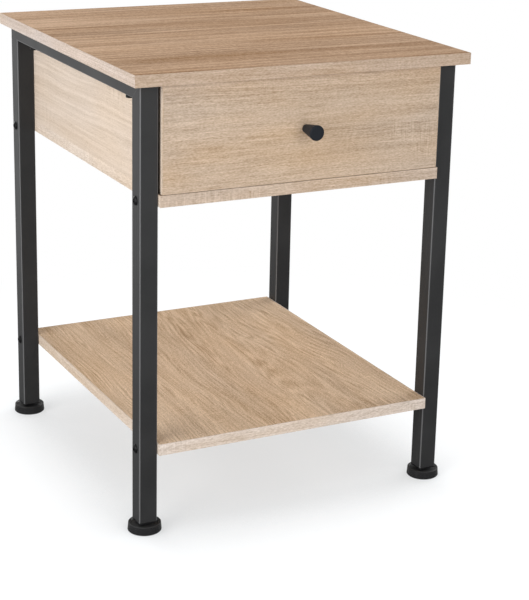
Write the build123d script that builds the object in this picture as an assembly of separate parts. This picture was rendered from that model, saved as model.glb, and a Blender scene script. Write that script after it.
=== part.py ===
from build123d import *
import os

# Side table with one drawer: two welded steel side frames carry a top, a drawer box and a shelf.
# Millimetres. X runs to the right, the front faces -Y, Z points up.
# The origin is on the floor, in the middle between the knob's face and the rear edge of the top.

# Whole table
top_width = 470.0
top_depth = 500.0
table_height = 600.0
side_overhang = 12.0
front_overhang = 15.0
rear_overhang = 12.0

# Boards
board = 15.0
edging = 1.0
board_proud = 5.5
shelf_top = 122.0
box_floor_bottom = 433.0

# Steel side frames
tube = 25.0
rail_height = 20.0
tube_wall = 1.2
tube_radius = 2.5

# Levelling feet and the threaded plugs above them
foot_radius = 22.0
foot_top_radius = 21.2
foot_height = 11.5
foot_rim = 2.6
foot_dish = 1.5
foot_floor_chamfer = 1.2
foot_edge = 0.8
foot_flutes = 24
flute_radius = 1.6
flute_depth = 0.8
flute_height = 8.0
foot_collar_across = 14.0
foot_collar_height = 2.5
foot_gap = 0.5
stud_radius = 4.0
stud_bottom = 2.5
stud_top = 36.0
stud_chamfer = 1.0
plug_flange = 2.0
plug_length = 22.0
plug_play = 0.1

# Drawer
drawer_side_gap = 2.6
drawer_bottom_gap = 0.7
drawer_top_gap = 1.2
drawer_stop_gap = 1.0
drawer_length = 400.0
drawer_board = 12.0
drawer_side_height = 100.0
drawer_lift = 14.0
bottom_sheet = 3.0
bottom_groove = 5.0
bottom_height = 8.0

# Knob
knob_reach = 30.0
knob_root_radius = 5.5
knob_face_radius = 10.0
knob_edge = 1.5

# Roller runners
runner_gap = 12.5
runner_length = 400.0
runner_setback = 3.0
runner_sheet = 1.2
runner_bend = 1.0
runner_lip = 11.0
runner_tip_gap = 1.3
channel_drop = 2.0
flange_clearance = 0.5
screw_clearance = 0.5
roller_radius = 9.0
roller_width = 6.0
roller_inset = 12.0
roller_hub_radius = 4.6
roller_rim = 2.2
roller_recess = 1.0
roller_chamfer = 0.4
cabinet_roller_gap = 0.8
roller_play = 0.3
axle_play = 0.1
flange_play = 0.8
axle_radius = 2.5
axle_head_radius = 4.0
axle_head = 0.8
axle_head_land = 0.25
axle_head_bevel = 1.0
axle_end_play = 0.4
runner_screw_rows = (40.0, 200.0, 360.0)
runner_screw_inset = 4.0

# Fasteners
bolt_radius = 3.0
bolt_head_radius = 6.0
bolt_head_height = 3.4
bolt_head_land = 0.8
bolt_grip = 13.0
socket_across = 4.0
socket_depth = 2.0
nut_radius = 4.5
top_screw_radius = 3.0
top_screw_head_radius = 5.0
top_screw_head_height = 6.0
top_screw_head_edge = 0.6
top_screw_washer_radius = 6.5
top_screw_washer = 1.2
top_screw_socket_across = 5.0
top_screw_socket_depth = 3.0
top_screw_grip = 10.0
top_screw_inset = 36.0
dowel_radius = 4.0
dowel_short = 8.0
dowel_long = 16.0
box_screw_radius = 2.5
box_screw_head_radius = 4.5
box_screw_length = 45.0
cam_radius = 7.5
cam_depth = 12.5
cam_reach = 24.0
cam_bolt_radius = 3.0
cam_bolt_grip = 10.0
small_cam_radius = 6.0
small_cam_depth = 9.0
small_cam_reach = 18.0
small_cam_bolt_radius = 2.5
small_dowel_radius = 3.0
small_screw_radius = 1.75
small_screw_head_radius = 3.5
small_screw_head = 1.0
small_screw_bevel = 0.6
runner_screw_length = 11.0
back_screw_length = 40.0
bottom_screw_length = 20.0
knob_screw_radius = 2.0
knob_screw_head_radius = 4.0
knob_screw_head = 2.4
knob_screw_grip = 12.0
pan_land_share = 0.3
recess_width_share = 0.34
recess_length_share = 0.65
recess_depth_share = 0.45
cam_recess_depth = 2.0

# Places of the fasteners along the boards
box_screw_inset = 60.0
panel_dowel_inset = 100.0
cam_inset = 50.0
back_screw_x = 90.0
back_dowel_heights = (32.0, 102.0)
drawer_cam_heights = (23.0, 78.0)
drawer_dowel_height = 50.5
back_fixing_heights = (33.0, 78.0)
bottom_screw_x = 80.0

# Planes of the frame, from the sizes above
drawer_setback = front_overhang - board_proud
knob_overhang = knob_reach - drawer_setback
front_edge = (knob_overhang - top_depth) / 2
rear_edge = front_edge + top_depth
leg_front = front_edge + front_overhang
leg_rear = rear_edge - rear_overhang
leg_middle = (leg_front + leg_rear) / 2
leg_outer = top_width / 2 - side_overhang
leg_inner = leg_outer - tube
leg_axis = leg_outer - tube / 2
leg_top = table_height - board
plug_bottom = foot_height - foot_dish + foot_collar_height + foot_gap
leg_bottom = plug_bottom + plug_flange
front_leg_y = leg_front + tube / 2
rear_leg_y = leg_rear - tube / 2
board_front = leg_front - board_proud
board_rear = leg_rear + board_proud

# Planes of the drawer box
box_floor_top = box_floor_bottom + board
panel_outer = leg_inner
panel_inner = panel_outer - board
panel_axis = panel_outer - board / 2
panel_front = board_front + board + drawer_stop_gap
back_front = board_rear - board
back_axis = board_rear - board / 2

# Planes of the drawer
drawer_front_back = board_front + board
drawer_rear = drawer_front_back + drawer_length
drawer_outer = panel_inner - runner_gap
drawer_inner = drawer_outer - drawer_board
drawer_side_axis = drawer_outer - drawer_board / 2
drawer_base = box_floor_top + drawer_lift
drawer_sheet_bottom = drawer_base + bottom_height
drawer_sheet_top = drawer_sheet_bottom + bottom_sheet
drawer_back_axis = drawer_rear - drawer_board / 2
drawer_front_base = box_floor_top + drawer_bottom_gap
drawer_front_top = leg_top - drawer_top_gap
knob_z = (drawer_front_base + drawer_front_top) / 2

# Heights and ends of the runners: the drawer's roller runs on the track,
# and the drawer's flange runs on the cabinet's roller
channel_bottom = drawer_base - channel_drop
track = channel_bottom + runner_sheet
drawer_roller_z = track + roller_play + roller_radius
flange_bottom = drawer_roller_z + roller_radius + flange_clearance
flange_top = flange_bottom + runner_sheet
cabinet_roller_z = flange_bottom - roller_play - roller_radius
channel_ceiling = flange_top + flange_play
channel_top = channel_ceiling + runner_sheet
channel_edge = drawer_outer + runner_sheet + runner_tip_gap
flange_tip = panel_inner - runner_sheet - small_screw_head - screw_clearance
runner_front = panel_front + runner_setback
runner_rear = runner_front + runner_length
cabinet_roller_y = runner_front + roller_inset
drawer_roller_y = drawer_rear - roller_inset

left_right = Plane.YZ
front_rear = Plane(origin=(0, leg_middle, 0), z_dir=(0, 1, 0))


def box_between(low, high):
    """A block from its lowest corner to its highest corner."""
    size = [b - a for a, b in zip(low, high)]
    return Pos(*low) * Box(*size, align=(Align.MIN, Align.MIN, Align.MIN))


def rod(start, direction, radius, length):
    """A round rod that starts at a point and runs along a direction."""
    place = Plane(origin=start, z_dir=direction).location
    return place * Cylinder(radius, length, align=(Align.CENTER, Align.CENTER, Align.MIN))


def turned(outline):
    """A solid turned about Z from (radius, height) points."""
    return revolve(Plane.XZ * make_face(Polyline(*outline, close=True)), Axis.Z)


def placed(shape, start, direction):
    """Moves a shape built up Z so that it starts at a point and runs along a direction."""
    return Plane(origin=start, z_dir=direction).location * shape


def both_sides(shapes):
    """Left-hand shapes, and their mirror images on the right."""
    return shapes + [mirror(shape, about=left_right) for shape in shapes]


def all_legs(shape):
    """A shape at the front left leg, repeated at the other three."""
    return both_sides([shape, mirror(shape, about=front_rear)])


def cut(shape, tools):
    """A shape with every tool taken away."""
    for tool in tools:
        shape = shape - tool
    return shape


def cross_recess(head_radius, depth, top):
    """A cross-shaped driver recess that opens at a height."""
    length = recess_length_share * head_radius
    width = recess_width_share * head_radius
    bar = Pos(0, 0, top) * Box(length, width, 2 * depth)
    return bar + Rot(0, 0, 90) * bar


def domed_head(radius, height, land):
    """A domed head that stands below Z = 0, on a short straight land."""
    cap = height - land
    dome_radius = (radius ** 2 + cap ** 2) / (2 * cap)
    outline = Polyline((0, -height), (0, 0), (radius, 0), (radius, -land))
    dome = RadiusArc((radius, -land), (0, -height), dome_radius)
    return revolve(Plane.XZ * make_face([*outline.edges(), dome]), Axis.Z)


def socket_bolt(grip):
    """A domed bolt with a hexagon socket: the head is below Z = 0 and the shank runs up."""
    socket = extrude(RegularPolygon(socket_across / 2, 6, major_radius=False), 2 * socket_depth, both=True)
    head = domed_head(bolt_head_radius, bolt_head_height, bolt_head_land)
    head = head - Pos(0, 0, -bolt_head_height - socket_depth) * socket
    return head + rod((0, 0, 0), (0, 0, 1), bolt_radius, grip)


def pan_screw(radius, length, head_radius, head_height):
    """A screw with a domed head below Z = 0, a cross recess and a straight shank."""
    head = domed_head(head_radius, head_height, pan_land_share * head_height)
    head = head - cross_recess(head_radius, recess_depth_share * head_height, -head_height)
    return head + rod((0, 0, 0), (0, 0, 1), radius, length)


def cap_screw(length):
    """A cap screw with a hexagon socket, on a washer: both are below Z = 0 and the shank runs up."""
    bottom = -top_screw_washer - top_screw_head_height
    head = turned([(0, 0), (top_screw_washer_radius, 0), (top_screw_washer_radius, -top_screw_washer),
                   (top_screw_head_radius, -top_screw_washer),
                   (top_screw_head_radius, bottom + top_screw_head_edge),
                   (top_screw_head_radius - top_screw_head_edge, bottom), (0, bottom)])
    hexagon = RegularPolygon(top_screw_socket_across / 2, 6, major_radius=False)
    head = head - Pos(0, 0, bottom) * extrude(hexagon, top_screw_socket_depth)
    return head + rod((0, 0, 0), (0, 0, 1), top_screw_radius, length)


def flush_screw(radius, length, head_radius):
    """A countersunk screw whose head ends at Z = 0."""
    sink = head_radius - radius
    return turned([(0, 0), (head_radius, 0), (radius, sink), (radius, length), (0, length)])


def flat_screw(length):
    """A small flat-headed screw: the head is below Z = 0."""
    face_radius = small_screw_head_radius - small_screw_bevel
    head = turned([(0, 0), (small_screw_head_radius, 0), (face_radius, -small_screw_head),
                   (0, -small_screw_head)])
    recess_depth = recess_depth_share * small_screw_head
    head = head - cross_recess(small_screw_head_radius, recess_depth, -small_screw_head)
    return head + rod((0, 0, 0), (0, 0, 1), small_screw_radius, length)


def cam_lock(radius, depth):
    """A round cam lock whose face is at Z = 0 and whose body runs up."""
    body = rod((0, 0, 0), (0, 0, 1), radius, depth)
    return body - cross_recess(radius, cam_recess_depth, 0)


def edged_board(width, length, thickness):
    """A board flat on Z = 0 about the origin: its core, and the four strips round its edges."""
    core = Pos(0, 0, thickness / 2) * Box(width - 2 * edging, length - 2 * edging, thickness)
    long_strip = Pos(0, (length - edging) / 2, thickness / 2) * Box(width, edging, thickness)
    end_strip = Pos((width - edging) / 2, 0, thickness / 2) * Box(edging, length - 2 * edging, thickness)
    strips = [long_strip, mirror(long_strip, about=Plane.XZ), end_strip, mirror(end_strip, about=Plane.YZ)]
    return core, strips


def mitre_wedge(above):
    """The space above or below the slanted joint between the front left leg and its rail."""
    reach = 2.0
    start = (leg_front - reach * tube, leg_top + reach * rail_height)
    end = (leg_front + (1 + reach) * tube, leg_top - (1 + reach) * rail_height)
    corner = (end[0], start[1]) if above else (start[0], end[1])
    wedge = extrude(Plane.YZ * make_face(Polyline(start, end, corner, close=True)), tube, both=True)
    return Pos(-leg_axis, 0, 0) * wedge


def tube_section(width, height):
    """Square or oblong tube with rounded corners."""
    hollow = RectangleRounded(width - 2 * tube_wall, height - 2 * tube_wall, tube_radius - tube_wall)
    return RectangleRounded(width, height, tube_radius) - hollow


def front_left_leg():
    leg = Pos(-leg_axis, front_leg_y, leg_bottom) * extrude(tube_section(tube, tube), leg_top - leg_bottom)
    return cut(leg, [mitre_wedge(True)] + left_bolts())


def left_rail():
    start = (-leg_axis, leg_front, leg_top - rail_height / 2)
    section = Plane(origin=start, x_dir=(1, 0, 0), z_dir=(0, 1, 0))
    rail = extrude(section * tube_section(tube, rail_height), leg_rear - leg_front)
    wedge = mitre_wedge(False)
    return cut(rail, [wedge, mirror(wedge, about=front_rear)] + left_top_screws())


def left_bolts():
    """The two bolts through the front left leg, into the box floor and into the shelf."""
    return [left_bolt(box_floor_bottom), left_bolt(shelf_top - board)]


def left_bolt(board_bottom):
    start = (-leg_outer, front_leg_y, board_bottom + board / 2)
    return placed(socket_bolt(tube + bolt_grip), start, (1, 0, 0))


def left_nut(board_bottom):
    """The threaded sleeve in the end of a board that takes the bolt at the front left leg."""
    start = (-leg_inner, front_leg_y, board_bottom + board / 2)
    return rod(start, (1, 0, 0), nut_radius, board) - rod(start, (1, 0, 0), bolt_radius, board)


def left_top_screws():
    place = Pos(-leg_axis, leg_front + tube + top_screw_inset, leg_top - rail_height)
    front = place * cap_screw(rail_height + top_screw_grip)
    return [front, mirror(front, about=front_rear)]


def left_panel_ys(inset):
    """Two places along a side panel, the same distance from its front and rear ends."""
    return panel_front + inset, board_rear - inset


def left_panel_dowels():
    """Upright dowels: from the panel into the box floor, and into the top."""
    length = dowel_short + dowel_long
    return [rod((-panel_axis, y, z), (0, 0, 1), dowel_radius, length)
            for y in left_panel_ys(panel_dowel_inset)
            for z in (box_floor_top - dowel_short, leg_top - dowel_long)]


def left_back_dowels():
    """Level dowels from the left side panel into the end of the back panel."""
    return [rod((-panel_inner - dowel_short, back_axis, box_floor_top + height), (1, 0, 0),
                dowel_radius, dowel_short + dowel_long) for height in back_dowel_heights]


def left_box_screws():
    """Screws up through the box floor into the left side panel and the left half of the back panel."""
    places = [(-panel_axis, y) for y in left_panel_ys(box_screw_inset)] + [(-back_screw_x, back_axis)]
    screw = flush_screw(box_screw_radius, box_screw_length, box_screw_head_radius)
    return [Pos(x, y, box_floor_bottom) * screw for x, y in places]


def left_cam_bolts():
    """Bolts from the underside of the top down to the middle of each cam lock."""
    length = cam_reach + cam_bolt_grip
    return [rod((-panel_axis, y, leg_top - cam_reach), (0, 0, 1), cam_bolt_radius, length)
            for y in left_panel_ys(cam_inset)]


def left_cam_holes():
    return [rod((-panel_inner, y, leg_top - cam_reach), (-1, 0, 0), cam_radius, cam_depth)
            for y in left_panel_ys(cam_inset)]


def left_cams():
    cams = [placed(cam_lock(cam_radius, cam_depth), (-panel_inner, y, leg_top - cam_reach), (-1, 0, 0))
            for y in left_panel_ys(cam_inset)]
    return [cut(cam, left_cam_bolts()) for cam in cams]


def left_runner_screws():
    """Flat screws through the cabinet runner into the left side panel."""
    height = (channel_bottom + channel_top) / 2
    return [placed(flat_screw(runner_sheet + runner_screw_length),
                   (-panel_inner + runner_sheet, runner_front + y, height), (-1, 0, 0))
            for y in runner_screw_rows]


def bent_sheet(points, start, end, bends):
    """A sheet-metal profile in XZ, drawn along Y, with its bends rounded."""
    profile = make_face(Polyline(*points, close=True))
    corners = [profile.vertices().sort_by_distance((*bend, 0))[0] for bend in bends]
    profile = fillet(corners, runner_bend)
    section = Plane(origin=(0, start, 0), x_dir=(1, 0, 0), z_dir=(0, -1, 0))
    return extrude(section * profile, start - end)


def left_cabinet_runner():
    """A channel open towards the drawer: web on the panel, track below and a lip above."""
    wall = -panel_inner
    web = wall + runner_sheet
    edge = -channel_edge
    points = [(wall, channel_bottom), (edge, channel_bottom), (edge, track), (web, track),
              (web, channel_ceiling), (edge, channel_ceiling), (edge, channel_top), (wall, channel_top)]
    bends = [(wall, channel_bottom), (wall, channel_top)]
    channel = bent_sheet(points, runner_front, runner_rear, bends)
    return cut(channel, left_runner_screws() + [left_cabinet_axle()])


def left_drawer_runner():
    """A lip under the drawer side, a web beside it and a flange that runs on the cabinet's roller."""
    wall = -drawer_outer
    web = wall - runner_sheet
    lip_end = wall + runner_lip
    lip_bottom = drawer_base - runner_sheet
    tip = -flange_tip
    points = [(web, lip_bottom), (lip_end, lip_bottom), (lip_end, drawer_base), (wall, drawer_base),
              (wall, flange_top), (tip, flange_top), (tip, flange_bottom), (web, flange_bottom)]
    bends = [(web, lip_bottom), (wall, flange_top)]
    runner = bent_sheet(points, drawer_front_back, drawer_rear, bends)
    return cut(runner, left_drawer_runner_screws() + [left_drawer_axle()])


def roller_axle(length):
    """A riveted axle: the shank runs up from Z = 0 to the head."""
    return turned([(0, 0), (axle_radius, 0), (axle_radius, length), (axle_head_radius, length),
                   (axle_head_radius, length + axle_head_land),
                   (axle_head_radius - axle_head_bevel, length + axle_head), (0, length + axle_head)])


def roller():
    """A nylon roller about Z from Z = 0 up, with a hub, a thin web and a rim."""
    bore = axle_radius + axle_play
    rim_inside = roller_radius - roller_rim
    rim_edge = roller_radius - roller_chamfer
    high = roller_width - roller_recess
    return turned([(bore, 0), (roller_hub_radius, 0), (roller_hub_radius, roller_recess),
                   (rim_inside, roller_recess), (rim_inside, 0), (rim_edge, 0),
                   (roller_radius, roller_chamfer), (roller_radius, roller_width - roller_chamfer),
                   (rim_edge, roller_width), (rim_inside, roller_width), (rim_inside, high),
                   (roller_hub_radius, high), (roller_hub_radius, roller_width), (bore, roller_width)])


def left_cabinet_axle():
    """The cabinet roller's axle stands in the channel's web and points at the drawer."""
    length = runner_sheet + cabinet_roller_gap + roller_width + axle_end_play
    return placed(roller_axle(length), (-panel_inner, cabinet_roller_y, cabinet_roller_z), (1, 0, 0))


def left_cabinet_roller():
    start = -panel_inner + runner_sheet + cabinet_roller_gap
    return placed(roller(), (start, cabinet_roller_y, cabinet_roller_z), (1, 0, 0))


def left_drawer_axle():
    """The drawer roller's axle stands in the drawer runner's web and points at the panel."""
    length = flange_tip - axle_head - drawer_outer
    return placed(roller_axle(length), (-drawer_outer, drawer_roller_y, drawer_roller_z), (-1, 0, 0))


def left_drawer_roller():
    start = -(flange_tip - axle_head - axle_end_play - roller_width)
    return placed(roller(), (start, drawer_roller_y, drawer_roller_z), (-1, 0, 0))


def left_drawer_runner_screws():
    """Flat screws up through the lip into the lower edge of the drawer side."""
    x = -(drawer_outer - runner_screw_inset)
    screw = flat_screw(runner_sheet + runner_screw_length)
    return [Pos(x, drawer_front_back + y, drawer_base - runner_sheet) * screw for y in runner_screw_rows]


def left_side_panel():
    panel = box_between((-panel_outer, panel_front, box_floor_top), (-panel_inner, board_rear, leg_top))
    return cut(panel, left_panel_dowels() + left_back_dowels() + left_box_screws() + left_cam_holes()
               + left_cam_bolts() + left_runner_screws())


def back_panel():
    panel = box_between((-panel_inner, back_front, box_floor_top), (panel_inner, board_rear, leg_top))
    return cut(panel, both_sides(left_back_dowels() + left_box_screws()))


def table_top():
    core, strips = edged_board(top_width, top_depth, board)
    place = Pos(0, (front_edge + rear_edge) / 2, leg_top)
    tools = both_sides(left_panel_dowels() + left_cam_bolts() + left_top_screws())
    return cut(place * core, tools), [place * strip for strip in strips]


def frame_board(board_bottom, tools):
    """A board between the legs, with its nut holes and other holes, and its edging."""
    core, strips = edged_board(2 * leg_inner, board_rear - board_front, board)
    place = Pos(0, leg_middle, board_bottom)
    holes = all_legs(rod((-leg_inner, front_leg_y, board_bottom + board / 2), (1, 0, 0), nut_radius, board))
    return cut(place * core, holes + tools), [cut(place * strip, holes) for strip in strips]


def foot():
    """A levelling foot about Z, standing on Z = 0: a dished, fluted disc with a hexagon collar."""
    dish = foot_height - foot_dish
    rim_inside = foot_top_radius - foot_rim
    disc = turned([(0, 0), (foot_radius - foot_floor_chamfer, 0), (foot_radius, foot_floor_chamfer),
                   (foot_top_radius, foot_height - foot_edge), (foot_top_radius - foot_edge, foot_height),
                   (rim_inside, foot_height), (rim_inside - foot_edge, dish), (0, dish)])
    flute = Pos(foot_radius + flute_radius - flute_depth, 0, 0) * Circle(flute_radius)
    flutes = [extrude(place * flute, flute_height) for place in PolarLocations(0, foot_flutes)]
    collar = extrude(RegularPolygon(foot_collar_across / 2, 6, major_radius=False), foot_collar_height)
    body = disc + Pos(0, 0, dish) * collar
    return body - flutes - rod((0, 0, stud_bottom), (0, 0, 1), stud_radius, stud_top)


def stud():
    return turned([(0, stud_bottom), (stud_radius, stud_bottom), (stud_radius, stud_top - stud_chamfer),
                   (stud_radius - stud_chamfer, stud_top), (0, stud_top)])


def plug():
    """A plug in the lower end of a leg: a flange as wide as the tube, and a body that fills it."""
    inside = tube - 2 * tube_wall
    flange = Pos(0, 0, plug_bottom) * extrude(RectangleRounded(tube, tube, tube_radius), plug_flange)
    body = extrude(RectangleRounded(inside, inside, tube_radius - tube_wall), plug_length)
    bore = rod((0, 0, plug_bottom), (0, 0, 1), stud_radius + plug_play, plug_flange + plug_length)
    return flange + Pos(0, 0, leg_bottom) * body - bore


def knob_outline():
    """Half of the knob's section: a cone from its foot at the drawer front (height 0) to its face."""
    face_edge = (knob_face_radius, knob_reach - knob_edge)
    face_rim = (knob_face_radius - knob_edge, knob_reach)
    cone = Polyline(face_rim, (0, knob_reach), (0, 0), (knob_root_radius, 0), face_edge)
    corner = RadiusArc(face_edge, face_rim, -knob_edge)
    return make_face([*cone.edges(), corner])


def knob_screw():
    screw = pan_screw(knob_screw_radius, board + knob_screw_grip, knob_screw_head_radius, knob_screw_head)
    return placed(screw, (0, drawer_front_back, knob_z), (0, -1, 0))


def knob():
    body = revolve(Plane.XZ * knob_outline(), Axis.Z)
    return placed(body, (0, board_front, knob_z), (0, -1, 0)) - knob_screw()


def drawer_cam_centres():
    """Middles of the left drawer side's two cam locks, on its inner face."""
    return [(-drawer_inner, drawer_front_back + small_cam_reach, drawer_base + height)
            for height in drawer_cam_heights]


def left_drawer_cam_bolts():
    length = small_cam_reach + cam_bolt_grip
    return [rod((-drawer_side_axis, y, z), (0, -1, 0), small_cam_bolt_radius, length)
            for x, y, z in drawer_cam_centres()]


def left_drawer_cam_holes():
    return [rod(centre, (-1, 0, 0), small_cam_radius, small_cam_depth) for centre in drawer_cam_centres()]


def left_drawer_cams():
    lock = cam_lock(small_cam_radius, small_cam_depth)
    cams = [placed(lock, centre, (-1, 0, 0)) for centre in drawer_cam_centres()]
    return [cut(cam, left_drawer_cam_bolts()) for cam in cams]


def left_drawer_dowel():
    start = (-drawer_side_axis, drawer_front_back - dowel_short, drawer_base + drawer_dowel_height)
    return rod(start, (0, 1, 0), small_dowel_radius, dowel_short + dowel_long)


def left_back_screws():
    """Countersunk screws through the drawer side into the end of the drawer back."""
    screw = flush_screw(small_screw_radius, back_screw_length, small_screw_head_radius)
    return [placed(screw, (-drawer_outer, drawer_back_axis, drawer_base + height), (1, 0, 0))
            for height in back_fixing_heights]


def bottom_screws():
    """Flat screws up through the drawer bottom into the drawer back."""
    screw = flat_screw(bottom_screw_length)
    return both_sides([Pos(-bottom_screw_x, drawer_back_axis, drawer_sheet_bottom) * screw])


def drawer_sheet():
    """The drawer bottom: it sits in grooves of the front and the sides, and runs under the back."""
    half = drawer_inner + bottom_groove
    return box_between((-half, drawer_front_back - bottom_groove, drawer_sheet_bottom),
                       (half, drawer_rear, drawer_sheet_top))


def left_drawer_side():
    side = box_between((-drawer_outer, drawer_front_back, drawer_base),
                       (-drawer_inner, drawer_rear, drawer_base + drawer_side_height))
    cams = left_drawer_cam_holes() + left_drawer_cam_bolts()
    screws = left_back_screws() + left_drawer_runner_screws()
    return cut(side, [drawer_sheet(), left_drawer_dowel()] + cams + screws)


def drawer_back():
    back = box_between((-drawer_inner, drawer_rear - drawer_board, drawer_sheet_top),
                       (drawer_inner, drawer_rear, drawer_base + drawer_side_height))
    return cut(back, both_sides(left_back_screws()) + bottom_screws())


def drawer_front():
    width = 2 * (leg_inner - drawer_side_gap)
    height = drawer_front_top - drawer_front_base
    core, strips = edged_board(width, height, board)
    place = Plane(origin=(0, drawer_front_back, knob_z), x_dir=(1, 0, 0), z_dir=(0, -1, 0)).location
    tools = both_sides([left_drawer_dowel()] + left_drawer_cam_bolts()) + [drawer_sheet(), knob_screw()]
    return cut(place * core, tools), [place * strip for strip in strips]


def frame_nodes():
    """The steel frames, the boards they carry and what fastens them."""
    top, top_strips = table_top()
    floor_tools = both_sides(left_panel_dowels() + left_box_screws())
    floor, floor_strips = frame_board(box_floor_bottom, floor_tools)
    shelf, shelf_strips = frame_board(shelf_top - board, [])
    leg = front_left_leg()
    rear_leg = mirror(leg, about=front_rear)
    rail = left_rail()
    panel = left_side_panel()
    box_bolt, shelf_bolt = left_bolts()
    return {
        "table_top": [top],
        "table_top_edging": top_strips,
        "front_left_leg": [leg],
        "rear_left_leg": [rear_leg],
        "front_right_leg": [mirror(leg, about=left_right)],
        "rear_right_leg": [mirror(rear_leg, about=left_right)],
        "left_rail": [rail],
        "right_rail": [mirror(rail, about=left_right)],
        "box_floor": [floor],
        "box_floor_edging": floor_strips,
        "left_side_panel": [panel],
        "right_side_panel": [mirror(panel, about=left_right)],
        "back_panel": [back_panel()],
        "lower_shelf": [shelf],
        "lower_shelf_edging": shelf_strips,
        "leg_plugs": all_legs(Pos(-leg_axis, front_leg_y, 0) * plug()),
        "box_bolts": all_legs(box_bolt),
        "shelf_bolts": all_legs(shelf_bolt),
        "box_nuts": all_legs(left_nut(box_floor_bottom)),
        "shelf_nuts": all_legs(left_nut(shelf_top - board)),
        "top_screws": both_sides(left_top_screws()),
        "panel_dowels": both_sides(left_panel_dowels()),
        "back_panel_dowels": both_sides(left_back_dowels()),
        "box_screws": both_sides(left_box_screws()),
        "panel_cams": both_sides(left_cams()),
        "panel_cam_bolts": both_sides(left_cam_bolts()),
    }


def runner_nodes():
    """The roller runners, one node for each piece on each side."""
    nodes = {
        "cabinet_roller_axles": both_sides([left_cabinet_axle()]),
        "cabinet_runner_screws": both_sides(left_runner_screws()),
        "drawer_roller_axles": both_sides([left_drawer_axle()]),
        "drawer_runner_screws": both_sides(left_drawer_runner_screws()),
    }
    left_pieces = {
        "cabinet_runner": left_cabinet_runner(),
        "drawer_runner": left_drawer_runner(),
        "cabinet_roller": left_cabinet_roller(),
        "drawer_roller": left_drawer_roller(),
    }
    for name, piece in left_pieces.items():
        nodes["left_" + name] = [piece]
        nodes["right_" + name] = [mirror(piece, about=left_right)]
    return nodes


def drawer_nodes():
    """The drawer box, its front, its knob and what fastens them."""
    front, front_strips = drawer_front()
    side = left_drawer_side()
    return {
        "drawer_front": [front],
        "drawer_front_edging": front_strips,
        "drawer_left_side": [side],
        "drawer_right_side": [mirror(side, about=left_right)],
        "drawer_back": [drawer_back()],
        "drawer_bottom": [cut(drawer_sheet(), bottom_screws())],
        "drawer_bottom_screws": bottom_screws(),
        "drawer_back_screws": both_sides(left_back_screws()),
        "drawer_cams": both_sides(left_drawer_cams()),
        "drawer_cam_bolts": both_sides(left_drawer_cam_bolts()),
        "drawer_dowels": both_sides([left_drawer_dowel()]),
        "knob": [knob()],
        "knob_screw": [knob_screw()],
    }


def foot_nodes():
    """A foot and its stud under each leg."""
    nodes = {}
    corners = {"front_left": (-leg_axis, front_leg_y), "rear_left": (-leg_axis, rear_leg_y),
               "front_right": (leg_axis, front_leg_y), "rear_right": (leg_axis, rear_leg_y)}
    for name, (x, y) in corners.items():
        nodes[name + "_foot"] = [Pos(x, y, 0) * foot()]
        nodes[name + "_foot_stud"] = [Pos(x, y, 0) * stud()]
    return nodes


os.makedirs("parts", exist_ok=True)
for node_name, pieces in {**frame_nodes(), **runner_nodes(), **drawer_nodes(), **foot_nodes()}.items():
    solids = [solid for piece in pieces for solid in piece.solids()]
    export_step(solids[0] if len(solids) == 1 else Compound(solids), f"parts/{node_name}.step")
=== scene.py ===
"""The looks of the side table: materials, edge rounding, studio and camera, in metres."""
import math
import bpy
from mathutils import Matrix, Vector


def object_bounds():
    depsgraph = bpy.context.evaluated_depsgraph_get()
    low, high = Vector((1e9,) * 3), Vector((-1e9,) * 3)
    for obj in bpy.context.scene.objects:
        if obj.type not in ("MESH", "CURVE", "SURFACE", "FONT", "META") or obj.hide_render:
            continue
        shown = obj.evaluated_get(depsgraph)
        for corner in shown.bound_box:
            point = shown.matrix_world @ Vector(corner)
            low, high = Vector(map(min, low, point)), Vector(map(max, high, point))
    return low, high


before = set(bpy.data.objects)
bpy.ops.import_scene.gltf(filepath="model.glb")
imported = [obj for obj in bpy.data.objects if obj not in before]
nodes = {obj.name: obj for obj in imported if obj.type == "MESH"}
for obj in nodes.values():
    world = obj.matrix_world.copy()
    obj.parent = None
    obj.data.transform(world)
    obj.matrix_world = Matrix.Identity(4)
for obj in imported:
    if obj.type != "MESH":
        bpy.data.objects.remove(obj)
cad_low, cad_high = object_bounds()
scene = bpy.context.scene
mm = 0.001

# Camera, fitted to the straight edges of the photograph
camera_place = (-0.98979, -2.06607, 0.98013)
camera_yaw = math.radians(28.392)
camera_pitch = math.radians(-16.462)
camera_roll = math.radians(-1.664)
camera_lens = 102.01
camera_sensor = 36.0
camera_shift = (-0.0667, -0.0917)

# Softboxes: place, side and level
softboxes = {
    "left_softbox": ((-2.4, -0.8, 0.95), 1.9, 0.84),
    "front_softbox": ((0.2, -3.4, 1.2), 2.4, 0.40),
    "right_softbox": ((2.6, 0.6, 1.1), 1.8, 0.55),
    "rear_softbox": ((-0.2, 2.9, 1.3), 1.8, 0.30),
    "top_softbox": ((0.1, 0.1, 2.9), 1.1, 0.22),
}
ambient_level = 0.24

# Floor: its half width, its greys, and the colour that it glows in near the table
floor_half = 9.0
floor_matt_grey = 0.3
floor_bounce_grey = 0.65
floor_glow_colour = (0.965, 0.985, 1.0, 1.0)

# Ramps are given as from, to, and then what comes out at each of the two, where that isn't zero and one
# painted shadow on the floor's glow and painted shade in its reflections
shadow_reach = 0.26
shadow_ramp = (0.5, 0.95, 0.59, 0.82)
fade_ramp = (0.40, 0.85)
reflection_shade_ramp = (0.30, 1.7, 0.30, 1.0)
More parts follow.
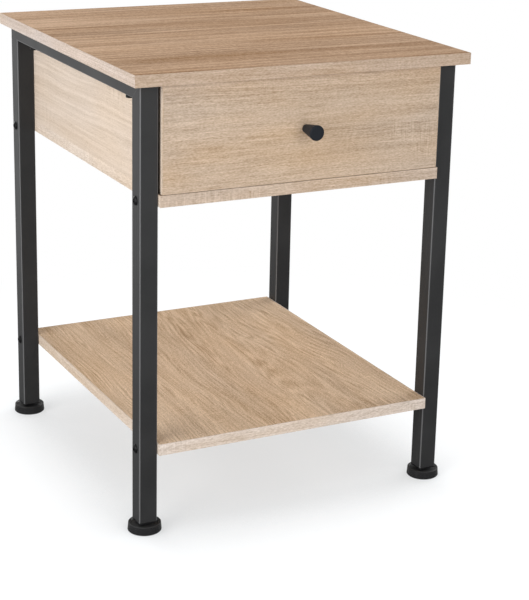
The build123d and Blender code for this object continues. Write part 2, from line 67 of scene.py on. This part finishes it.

# Reflectances of the surfaces
# painted shade: a darker copy of the same oak for the top, standing in for less light on it
oak_top_shaded_colour = (0.503, 0.332, 0.214)
oak_front_colour = (0.565, 0.43, 0.316)
# painted light: a paler copy of the oak for faces that look along X, as if lit from the side
oak_lit_side_colour = (0.64, 0.532, 0.438)
oak_edge_colour = (0.53, 0.40, 0.30)
# painted light: the same kind of paler copy for the ends of the top's edging
oak_top_lit_end_colour = (0.58, 0.475, 0.40)
oak_box_edge_colour = (0.59, 0.46, 0.355)
# painted light: the shelf and its edging are lighter copies of the same oak, making up for the shade under
# the box
oak_shelf_lit_colour = (0.658, 0.484, 0.332)
oak_shelf_edge_lit_colour = (0.71, 0.60, 0.51)
steel_colour = (0.0275, 0.0277, 0.0285)
plastic_colour = (0.010, 0.010, 0.0108)
knob_colour = (0.015, 0.0175, 0.022)
fastener_colour = (0.004, 0.004, 0.0045)
zinc_colour = (0.60, 0.61, 0.62)
nylon_colour = (0.74, 0.73, 0.69)
beech_colour = (0.60, 0.43, 0.27)
hardboard_colour = (0.40, 0.28, 0.17)

# Sizes of the oak figure: length along the grain and width across it
sway_cell = (0.30, 0.15)
ripple_cell = (0.05, 0.012)
tone_cell = (0.55, 0.05)
hue_cell = (0.22, 0.06)
streak_cell = (0.34, 0.0065)
line_cell = (0.05, 0.0011)
zone_cell = (0.16, 0.03)
pore_cell = (0.010, 0.0007)
fleck_cell = (0.0035, 0.0011)
saw_cell = (0.0024, 0.03)
patch_cell = (0.10, 0.06)
drift_cell = (0.20, 0.02)
ring_spacing = 0.0042
ring_drift = 5.0

# How strong the figure is on each kind of board: sway and ripple in metres, the rest as shares of the colour
top_figure = dict(sway=0.014, ripple=0.0010, tone=0.80, hue=0.5,
                  streak=1.55, line=0.8, ring=0.02, fleck=1.2)
shelf_figure = dict(sway=0.050, ripple=0.0035, tone=0.60, hue=0.6,
                    streak=0.6, line=1.2, ring=0.13, fleck=1.1)
front_figure = dict(sway=0.016, ripple=0.0010, tone=0.45, hue=1.25,
                    streak=0.5, line=1.0, ring=0.03, fleck=0.8)
side_figure = dict(sway=0.030, ripple=0.0020, tone=0.12, hue=0.5,
                   streak=0.60, line=0.3, ring=0.02, fleck=0.35)
edge_figure = dict(sway=0.004, ripple=0.0005, tone=0.30, hue=1.0,
                   streak=0.5, line=0.9, ring=0.0, fleck=0.8)

# Where each oak is cut from the pattern: an offset, and the log's heart as (across, depth, slope)
oak_cuts = {
    "oak_top": ((0.37, 0.11, 1.53), (0.06, 0.05, 0.05)),
    "oak_shelf": ((0.05, 1.3, 0.57), (0.12, 0.06, 0.06)),
    "oak_front": ((2.1, 1.61, 0.2), (0.62, 0.05, 0.04)),
    "oak_side": ((0.9, 0.4, 0.6), (1.2, 0.07, 0.04)),
    "oak_back": ((1.4, 0.7, 0.9), (1.5, 0.07, 0.05)),
    "oak_edge": ((0.2, 0.8, 0.3), (0.3, 0.2, 0.02)),
    "oak_box_edge": ((0.7, 0.3, 0.5), (0.3, 0.2, 0.02)),
    "oak_shelf_edge": ((0.6, 0.2, 0.1), (0.3, 0.2, 0.02)),
    "oak_front_edge": ((0.5, 0.1, 0.7), (0.3, 0.2, 0.02)),
}

# The axis that the grain follows on faces that look along each axis
along_x = {"X": "Y", "Y": "X", "Z": "X"}
along_x_upright = {"X": "Z", "Y": "X", "Z": "X"}
along_y = {"X": "Y", "Y": "Z", "Z": "Y"}
facing_limit = 0.7

# Strengths of the figure that all boards share, and how much each of red, green and blue follows it
pore_strength = -0.16
saw_strength = 0.62
streak_raggedness = 0.7
line_raggedness = 0.6
shade_colour = (0.85, 1.0, 1.2)
hue_colour = (-0.10, 0.08, 0.36)
pore_ramp = (0.58, 0.72)
patch_ramp = (0.52, 0.68)
zone_ramp = (0.35, 0.65, 0.35, 1.0)

# Skin of the oak: its roughness by the streaks, and its relief
oak_roughness_ramp = (-0.3, 0.3, 0.86, 0.74)
pore_height = -0.6
streak_height = 0.4
oak_relief = 0.06 * mm

# The gap beside the drawer front gets painted shade: how close a neighbour darkens it, and how much
gap_shade_reach = 6 * mm
gap_shade_ramp = (0.25, 0.75, 0.3, 1.0)
occlusion_samples = 8

# Patterns of the other surfaces
soft_ramp = (0.3, 0.7)
steel_cloud = 0.08
plastic_cloud = 0.02
zinc_cloud = 0.012
nylon_cloud = 0.006
wood_cloud = 0.03
plastic_skin = 0.4 * mm
nylon_skin = 0.6 * mm
drawn_lines = (2500.0, 30.0, 2500.0)
# painted highlight on tube corners: where the faces slant
corner_highlight_ramp = (0.97, 0.80)
pebble_ramp = (0.55, 0.8)
level_ramp = (0.4, 0.8)
# painted shade on plastic faces that look up
plastic_top_shade_gain = (0.3, 0.3, 0.3)
plastic_top_dulling = 0.5
line_ramp = (0.5, 0.8)
flake_ramp = (0.45, 0.75)

# Edge rounding
board_edge = 0.25 * mm
steel_edge = 0.2 * mm
weld_reach = 0.002 * mm
edge_segments = 2
edge_angle = math.radians(40)


class Graph:
    """Adds nodes to a node tree and links them, so that a material reads like a formula."""

    def __init__(self, tree):
        self.tree = tree

    def feed(self, socket, value):
        if isinstance(value, bpy.types.NodeSocket):
            self.tree.links.new(value, socket)
        else:
            socket.default_value = value

    def node(self, kind, inputs=(), **settings):
        made = self.tree.nodes.new(kind)
        for name, value in settings.items():
            setattr(made, name, value)
        for key, value in dict(inputs).items():
            self.feed(made.inputs[key], value)
        return made

    def math(self, operation, *values):
        return self.node("ShaderNodeMath", enumerate(values), operation=operation).outputs[0]

    def vector(self, operation, *values):
        return self.node("ShaderNodeVectorMath", enumerate(values), operation=operation).outputs[0]

    def length(self, vector):
        return self.node("ShaderNodeVectorMath", {0: vector}, operation="LENGTH").outputs["Value"]

    def combine(self, x, y, z):
        return self.node("ShaderNodeCombineXYZ", {0: x, 1: y, 2: z}).outputs[0]

    def split(self, vector):
        return self.node("ShaderNodeSeparateXYZ", {0: vector}).outputs

    def place(self):
        """A point in its node's own frame, which is the table's frame at rest."""
        return self.node("ShaderNodeTexCoord").outputs["Object"]

    def looks(self):
        """The way that a face looks, in the same frame."""
        return self.node("ShaderNodeTexCoord").outputs["Normal"]

    def noise(self, vector, detail=2.0, roughness=0.5):
        inputs = {"Vector": vector, "Scale": 1.0, "Detail": detail, "Roughness": roughness}
        return self.node("ShaderNodeTexNoise", inputs).outputs["Fac"]

    def ramp(self, value, low, high, low_out=0.0, high_out=1.0):
        """A value from low to high, taken to low_out to high_out with soft ends."""
        inputs = {"Value": value, "From Min": low, "From Max": high, "To Min": low_out, "To Max": high_out}
        return self.node("ShaderNodeMapRange", inputs, interpolation_type="SMOOTHSTEP").outputs["Result"]

    def blend(self, kind, factor, first, second):
        """Mixes two colours (RGBA) or two vectors (VECTOR) by a factor."""
        made = self.node("ShaderNodeMix", data_type=kind)
        suffix = "Color" if kind == "RGBA" else "Vector"
        values = {"Factor_Float": factor, "A_" + suffix: first, "B_" + suffix: second}
        for socket in made.inputs:
            if socket.identifier in values:
                self.feed(socket, values[socket.identifier])
        return next(socket for socket in made.outputs if socket.identifier == "Result_" + suffix)

    def bump(self, height, distance):
        return self.node("ShaderNodeBump", {"Height": height, "Distance": distance}).outputs["Normal"]

    def openness(self, reach):
        """One in the open, less where something stands within reach."""
        inputs = {"Distance": reach}
        return self.node("ShaderNodeAmbientOcclusion", inputs, samples=occlusion_samples).outputs["AO"]

    def light(self, kind, colour, strength):
        return self.node(kind, {"Color": colour, "Strength": strength}).outputs[0]

    def matt(self, level):
        return self.node("ShaderNodeBsdfDiffuse", {"Color": grey(level)}).outputs[0]

    def mix_shaders(self, factor, first, second):
        return self.node("ShaderNodeMixShader", {0: factor, 1: first, 2: second}).outputs[0]


def grey(level):
    return (level, level, level, 1.0)


def tinted(colour, gain):
    """A colour times a gain, with an alpha of one."""
    return tuple(c * gain for c in colour) + (1.0,)


def empty_graph(owner):
    """The node tree of a material or world, emptied."""
    owner.use_nodes = True
    owner.node_tree.nodes.clear()
    return Graph(owner.node_tree)


def new_material(name, **even_values):
    """A material with one Principled shader, whose even values are set on its own sockets."""
    material = bpy.data.materials.new(name)
    graph = empty_graph(material)
    shader = graph.node("ShaderNodeBsdfPrincipled")
    for key, value in even_values.items():
        shader.inputs[key.replace("_", " ")].default_value = value
    graph.node("ShaderNodeOutputMaterial", {"Surface": shader.outputs[0]})
    return material, graph, shader


def finish_surface(graph, shader, colour, roughness, normal):
    graph.feed(shader.inputs["Base Color"], colour)
    graph.feed(shader.inputs["Roughness"], roughness)
    graph.feed(shader.inputs["Normal"], normal)


def cells(graph, place, size):
    """A place measured in cells of one length along the grain and one width across it."""
    length, width = size
    return graph.vector("MULTIPLY", place, (1 / length, 1 / width, 1 / width))


def even_noise(graph, size, detail):
    """Noise of one size in all directions."""
    return graph.noise(cells(graph, graph.place(), (size, size)), detail)


def clouded(graph, clouds, colour, low_gain, high_gain):
    """A colour that drifts between two gains with the clouds."""
    factor = graph.ramp(clouds, *soft_ramp)
    return graph.blend("RGBA", factor, tinted(colour, low_gain), tinted(colour, high_gain))


def grain_place(graph, grain, offset):
    """A point as (along the grain, across it, depth), and a factor of one on faces that look along X.

    Grain names the axis that the grain follows on faces that look along each axis.
    """
    x, y, z = graph.split(graph.vector("ADD", graph.place(), offset))
    looks = graph.split(graph.vector("ABSOLUTE", graph.looks()))
    axes = {"X": x, "Y": y, "Z": z}
    places = {}
    for facing, along in grain.items():
        across = next(axis for axis in "XYZ" if axis not in (facing, along))
        places[facing] = graph.combine(axes[along], axes[across], axes[facing])
    faces_x = graph.math("GREATER_THAN", looks[0], facing_limit)
    faces_y = graph.math("GREATER_THAN", looks[1], facing_limit)
    level_or_y = graph.blend("VECTOR", faces_y, places["Z"], places["Y"])
    return graph.blend("VECTOR", faces_x, level_or_y, places["X"]), faces_x


def growth_rings(graph, place, heart):
    """Ring lines of a flat-sawn board: where the log's heart lies across, how deep, and how it slopes."""
    heart_across, heart_depth, heart_slope = heart
    along, across, _ = graph.split(place)
    sideways = graph.math("SUBTRACT", across, heart_across)
    deep = graph.math("MULTIPLY_ADD", along, heart_slope, heart_depth)
    sideways_squared = graph.math("MULTIPLY", sideways, sideways)
    deep_squared = graph.math("MULTIPLY", deep, deep)
    distance = graph.math("SQRT", graph.math("ADD", sideways_squared, deep_squared))
    even_rings = graph.math("DIVIDE", distance, ring_spacing)
    drift = graph.noise(cells(graph, place, drift_cell))
    rings = graph.math("MULTIPLY_ADD", drift, ring_drift, even_rings)
    return graph.math("SINE", graph.math("MULTIPLY", rings, 2 * math.pi))


def oak(name, colour, grain, figure, painted_end_colour=oak_lit_side_colour, shade_reach=None, arris=None):
    """Faced board with a fine open oak grain; its faces that look along X take a paler copy of the colour,
    which is painted light.

    A shade reach, when given, is the reach within which a close neighbour darkens those faces with painted
    shade, as in a narrow gap. Arris is the radius of edges that are rounded in the shading alone.
    """
    material, graph, shader = new_material(name, Specular_IOR_Level=0.04)
    offset, heart = oak_cuts[name]
    straight, faces_x = grain_place(graph, grain, offset)

    def swing(place, size, strength, detail=2.0, roughness=0.5):
        """Noise about zero."""
        value = graph.noise(cells(graph, place, size), detail, roughness)
        return graph.math("MULTIPLY_ADD", value, strength, -0.5 * strength)

    sway = swing(straight, sway_cell, figure["sway"])
    ripple = swing(straight, ripple_cell, figure["ripple"])
    place = graph.vector("ADD", straight, graph.combine(0.0, graph.math("ADD", sway, ripple), 0.0))
    pores = graph.ramp(graph.noise(cells(graph, place, pore_cell), detail=1.0), *pore_ramp)
    saw_patches = graph.ramp(graph.noise(cells(graph, straight, patch_cell)), *patch_ramp)
    zones = graph.ramp(graph.noise(cells(graph, place, zone_cell)), *zone_ramp)
    streaks = swing(place, streak_cell, figure["streak"], roughness=streak_raggedness)
    lines = swing(place, line_cell, figure["line"], roughness=line_raggedness)
    rings = graph.math("MULTIPLY", growth_rings(graph, place, heart), figure["ring"])
    parts = [
        swing(place, tone_cell, figure["tone"]),
        streaks,
        graph.math("MULTIPLY", zones, graph.math("ADD", lines, rings)),
        swing(place, fleck_cell, figure["fleck"], detail=1.0),
        graph.math("MULTIPLY", pores, pore_strength),
        graph.math("MULTIPLY", saw_patches, swing(straight, saw_cell, saw_strength, detail=1.0)),
    ]
    shade = parts[0]
    for part in parts[1:]:
        shade = graph.math("ADD", shade, part)
    hue = swing(straight, hue_cell, figure["hue"])
    tint = graph.vector("MULTIPLY_ADD", graph.combine(shade, shade, shade), shade_colour, (1.0, 1.0, 1.0))
    tint = graph.vector("MULTIPLY_ADD", graph.combine(hue, hue, hue), hue_colour, tint)
    # painted light: faces along X take the paler end colour
    base = graph.blend("RGBA", faces_x, tinted(colour, 1.0), tinted(painted_end_colour, 1.0))
    # painted shade in the narrow gap: faces along X darken where a neighbour stands close
    if shade_reach:
        light = graph.ramp(graph.openness(shade_reach), *gap_shade_ramp)
        gap_shaded = graph.vector("MULTIPLY", base, graph.combine(light, light, light))
        base = graph.blend("RGBA", faces_x, base, gap_shaded)
    furrows = graph.math("MULTIPLY_ADD", pores, pore_height, graph.math("MULTIPLY", streaks, streak_height))
    relief = graph.node("ShaderNodeBump", {"Height": furrows, "Distance": oak_relief})
    if arris:
        rounded = graph.node("ShaderNodeBevel", {"Radius": arris})
        graph.feed(relief.inputs["Normal"], rounded.outputs["Normal"])
    finish_surface(graph, shader, graph.vector("MULTIPLY", base, tint),
                   graph.ramp(streaks, *oak_roughness_ramp), relief.outputs["Normal"])
    return material


def slant(graph):
    """Zero on faces square to an axis, one on faces that slant to all of them."""
    looks = graph.split(graph.vector("ABSOLUTE", graph.looks()))
    flatness = graph.math("MAXIMUM", graph.math("MAXIMUM", looks[0], looks[1]), looks[2])
    return graph.ramp(flatness, *corner_highlight_ramp)


def powder_coat(name, colour, pebble, roughness, specular, corner_highlight_gain=None):
    """Satin coating with a fine pebbled skin and slight changes of gloss.

    A corner highlight gain paints a paler highlight along the rounded corners of tubes.
    """
    material, graph, shader = new_material(name, Specular_IOR_Level=specular)
    pebbles = even_noise(graph, pebble, detail=2.0)
    clouds = even_noise(graph, steel_cloud, detail=3.0)
    body = clouded(graph, clouds, colour, low_gain=0.86, high_gain=1.14)
    body = graph.blend("RGBA", graph.ramp(pebbles, *pebble_ramp), body, tinted(colour, gain=1.5))
    if corner_highlight_gain:
        # painted highlight along the rounded corners of the tubes
        body = graph.blend("RGBA", slant(graph), body, tinted(colour, corner_highlight_gain))
    gloss = graph.ramp(clouds, *soft_ramp, low_out=roughness - 0.05, high_out=roughness + 0.06)
    finish_surface(graph, shader, body, gloss, graph.bump(pebbles, distance=0.02 * mm))
    return material


def moulded_plastic(name, colour):
    """Black plastic with a satin side and a dull top, darkened there with painted shade."""
    material, graph, shader = new_material(name, Specular_IOR_Level=0.45)
    skin = even_noise(graph, plastic_skin, detail=2.0)
    clouds = even_noise(graph, plastic_cloud, detail=3.0)
    level = graph.ramp(graph.split(graph.looks())[2], *level_ramp)
    body = clouded(graph, clouds, colour, low_gain=0.8, high_gain=1.2)
    # painted shade: faces that look up are darker
    body = graph.blend("RGBA", level, body, graph.vector("MULTIPLY", body, plastic_top_shade_gain))
    side_gloss = graph.ramp(skin, *soft_ramp, low_out=0.20, high_out=0.30)
    gloss = graph.math("MULTIPLY_ADD", level, plastic_top_dulling, side_gloss)
    finish_surface(graph, shader, body, gloss, graph.bump(skin, distance=0.015 * mm))
    return material


def zinc(name):
    """Bright zinc plate: a cloudy metal with fine drawn lines along the runners."""
    material, graph, shader = new_material(name, Metallic=1.0)
    clouds = even_noise(graph, zinc_cloud, detail=3.0)
    lines = graph.noise(graph.vector("MULTIPLY", graph.place(), drawn_lines))
    body = clouded(graph, clouds, zinc_colour, low_gain=0.9, high_gain=1.08)
    body = graph.blend("RGBA", graph.ramp(lines, *line_ramp), body, tinted(zinc_colour, gain=0.75))
    gloss = graph.ramp(clouds, *soft_ramp, low_out=0.28, high_out=0.44)
    finish_surface(graph, shader, body, gloss, graph.bump(lines, distance=0.01 * mm))
    return material


def nylon(name):
    """Moulded nylon with a slightly uneven, waxy face."""
    material, graph, shader = new_material(name, Specular_IOR_Level=0.4)
    clouds = even_noise(graph, nylon_cloud, detail=3.0)
    skin = even_noise(graph, nylon_skin, detail=2.0)
    body = clouded(graph, clouds, nylon_colour, low_gain=0.93, high_gain=1.04)
    gloss = graph.ramp(skin, *soft_ramp, low_out=0.4, high_out=0.52)
    finish_surface(graph, shader, body, gloss, graph.bump(skin, distance=0.01 * mm))
    return material


def fibre_wood(name, colour, flake, contrast):
    """Pressed or turned wood with short flakes and a fine mottle."""
    material, graph, shader = new_material(name, Specular_IOR_Level=0.15)
    flakes = graph.noise(cells(graph, graph.place(), flake), detail=3.0, roughness=0.6)
    mottle = even_noise(graph, wood_cloud, detail=3.0)
    body = clouded(graph, mottle, colour, low_gain=0.94, high_gain=1.06)
    body = graph.blend("RGBA", graph.ramp(flakes, *flake_ramp), body, tinted(colour, 1.0 - contrast))
    gloss = graph.ramp(flakes, *soft_ramp, low_out=0.55, high_out=0.7)
    finish_surface(graph, shader, body, gloss, graph.bump(flakes, distance=0.03 * mm))
    return material


def softbox(name, place, target, size, level):
    """A square area light that gives a surface facing it a level of about one per unit of level."""
    lamp = bpy.data.lights.new(name, "AREA")
    lamp.size = size
    way = Vector(target) - Vector(place)
    lamp.energy = level * math.pi ** 2 * way.length ** 2
    item = bpy.data.objects.new(name, lamp)
    scene.collection.objects.link(item)
    item.location = place
    item.rotation_mode = "QUATERNION"
    item.rotation_quaternion = way.to_track_quat("-Z", "Y")


def backdrop_factor(graph):
    """One for rays that show the backdrop, seen straight, in a reflection or through glass."""
    path = graph.node("ShaderNodeLightPath").outputs
    seen = graph.math("MAXIMUM", path["Is Camera Ray"], path["Is Glossy Ray"])
    return graph.math("MAXIMUM", seen, path["Is Transmission Ray"])


def add_world():
    """Even light from all round, behind a white that is seen but lights nothing."""
    world = bpy.data.worlds.new("studio")
    scene.world = world
    graph = empty_graph(world)
    ambient = graph.light("ShaderNodeBackground", grey(1.0), ambient_level)
    white = graph.light("ShaderNodeBackground", grey(1.0), 1.0)
    shown = graph.mix_shaders(backdrop_factor(graph), ambient, white)
    graph.node("ShaderNodeOutputWorld", {"Surface": shown})


def floor_material():
    """Pale and lit by the lamps, with a soft shadow near the table, partly cast by the lamps and partly
    painted into its glow, and white further off.

    In reflections it darkens towards the table with painted shade, as the tubes do in the photograph.
    """
    material = bpy.data.materials.new("floor_white")
    graph = empty_graph(material)
    reach = graph.length(graph.place())
    # painted shadow: the glow dims where the table stands near
    glow_level = graph.ramp(graph.openness(shadow_reach), *shadow_ramp)
    glow = graph.light("ShaderNodeEmission", floor_glow_colour, glow_level)
    near = graph.node("ShaderNodeAddShader", {0: graph.matt(floor_matt_grey), 1: glow}).outputs[0]
    white = graph.light("ShaderNodeEmission", grey(1.0), 1.0)
    lit = graph.mix_shaders(graph.ramp(reach, *fade_ramp), near, white)
    # painted shade in reflections: the floor shows darker towards the table
    shaded_reflection = graph.light("ShaderNodeEmission", grey(1.0), graph.ramp(reach, *reflection_shade_ramp))
    in_gloss = graph.node("ShaderNodeLightPath").outputs["Is Glossy Ray"]
    seen = graph.mix_shaders(in_gloss, lit, shaded_reflection)
    shown = graph.mix_shaders(backdrop_factor(graph), graph.matt(floor_bounce_grey), seen)
    graph.node("ShaderNodeOutputMaterial", {"Surface": shown})
    return material


def add_floor():
    mesh = bpy.data.meshes.new("floor")
    corners = [(x * floor_half, y * floor_half, 0.0) for x, y in ((-1, -1), (1, -1), (1, 1), (-1, 1))]
    mesh.from_pydata(corners, [], [(0, 1, 2, 3)])
    mesh.materials.append(floor_material())
    floor = bpy.data.objects.new("floor", mesh)
    scene.collection.objects.link(floor)


def add_studio():
    """A white sweep of floor and world with five soft lights."""
    middle = (cad_low + cad_high) / 2
    for name, (place, size, level) in softboxes.items():
        softbox(name, place, middle, size, level)
    add_world()
    add_floor()


def add_camera():
    """The camera, turned by its yaw, pitch and roll."""
    yaw, pitch, roll = camera_yaw, camera_pitch, camera_roll
    forward = Vector((math.sin(yaw) * math.cos(pitch), math.cos(yaw) * math.cos(pitch), math.sin(pitch)))
    level_right = Vector((math.cos(yaw), -math.sin(yaw), 0.0))
    level_down = forward.cross(level_right)
    right = level_right * math.cos(roll) + level_down * math.sin(roll)
    up = level_right * math.sin(roll) - level_down * math.cos(roll)
    data = bpy.data.cameras.new("camera")
    data.lens = camera_lens
    data.sensor_width = camera_sensor
    data.shift_x, data.shift_y = camera_shift
    camera = bpy.data.objects.new("camera", data)
    scene.collection.objects.link(camera)
    turn = Matrix((right, up, -forward)).transposed()
    camera.matrix_world = Matrix.Translation(camera_place) @ turn.to_4x4()
    scene.camera = camera


def dress(material, *names):
    for name in names:
        item = nodes[name]
        item.data.materials.clear()
        item.data.materials.append(material)


def round_edges(width, *names):
    """Rounds the sharp edges of nodes a little, so that they catch the light."""
    for name in names:
        join = nodes[name].modifiers.new("join", "WELD")
        join.merge_threshold = weld_reach
        bevel = nodes[name].modifiers.new("edges", "BEVEL")
        bevel.width = width
        bevel.segments = edge_segments
        bevel.limit_method = "ANGLE"
        bevel.angle_limit = edge_angle
        bevel.harden_normals = True


dress(oak("oak_top", oak_top_shaded_colour, along_x, top_figure), "table_top")
dress(oak("oak_shelf", oak_shelf_lit_colour, along_y, shelf_figure), "lower_shelf")
dress(oak("oak_front", oak_front_colour, along_x_upright, front_figure), "drawer_front")
dress(oak("oak_side", oak_front_colour, along_y, side_figure),
      "left_side_panel", "right_side_panel", "drawer_left_side", "drawer_right_side")
dress(oak("oak_back", oak_front_colour, along_x_upright, front_figure),
      "back_panel", "drawer_back", "box_floor")
dress(oak("oak_edge", oak_edge_colour, along_x, edge_figure,
          painted_end_colour=oak_top_lit_end_colour, arris=board_edge), "table_top_edging")
dress(oak("oak_box_edge", oak_box_edge_colour, along_x, edge_figure, arris=board_edge),
      "box_floor_edging")
dress(oak("oak_shelf_edge", oak_shelf_edge_lit_colour, along_x, edge_figure, arris=board_edge),
      "lower_shelf_edging")
dress(oak("oak_front_edge", oak_front_colour, along_x_upright, edge_figure,
          shade_reach=gap_shade_reach, arris=board_edge), "drawer_front_edging")

steel = ["front_left_leg", "rear_left_leg", "front_right_leg", "rear_right_leg", "left_rail", "right_rail"]
feet = ["front_left_foot", "rear_left_foot", "front_right_foot", "rear_right_foot"]
boards = ["table_top", "lower_shelf", "drawer_front", "left_side_panel", "right_side_panel", "back_panel",
          "box_floor", "drawer_left_side", "drawer_right_side", "drawer_back"]
dress(powder_coat("black_steel", steel_colour, pebble=0.7 * mm, roughness=0.42, specular=0.16,
                  corner_highlight_gain=5.0), *steel)
dress(moulded_plastic("black_plastic", plastic_colour), "leg_plugs", *feet)
dress(powder_coat("knob_black", knob_colour, pebble=0.4 * mm, roughness=0.42, specular=0.08), "knob")
dress(powder_coat("black_fastener", fastener_colour, pebble=0.3 * mm, roughness=0.34, specular=0.12),
      "box_bolts", "shelf_bolts", "top_screws")
dress(zinc("zinc_steel"),
      "box_nuts", "shelf_nuts", "box_screws", "panel_cams", "panel_cam_bolts",
      "drawer_cams", "drawer_cam_bolts", "drawer_back_screws", "drawer_bottom_screws", "knob_screw",
      "left_cabinet_runner", "right_cabinet_runner", "left_drawer_runner", "right_drawer_runner",
      "cabinet_roller_axles", "drawer_roller_axles", "cabinet_runner_screws", "drawer_runner_screws",
      *[foot + "_stud" for foot in feet])
dress(nylon("nylon"),
      "left_cabinet_roller", "right_cabinet_roller", "left_drawer_roller", "right_drawer_roller")
dress(fibre_wood("beech", beech_colour, flake=(6 * mm, 0.8 * mm), contrast=0.25),
      "panel_dowels", "back_panel_dowels", "drawer_dowels")
dress(fibre_wood("hardboard", hardboard_colour, flake=(3 * mm, 1.2 * mm), contrast=0.2), "drawer_bottom")
round_edges(board_edge, *boards)
round_edges(steel_edge, *steel)

add_studio()
add_camera()
scene.view_settings.view_transform = "Standard"
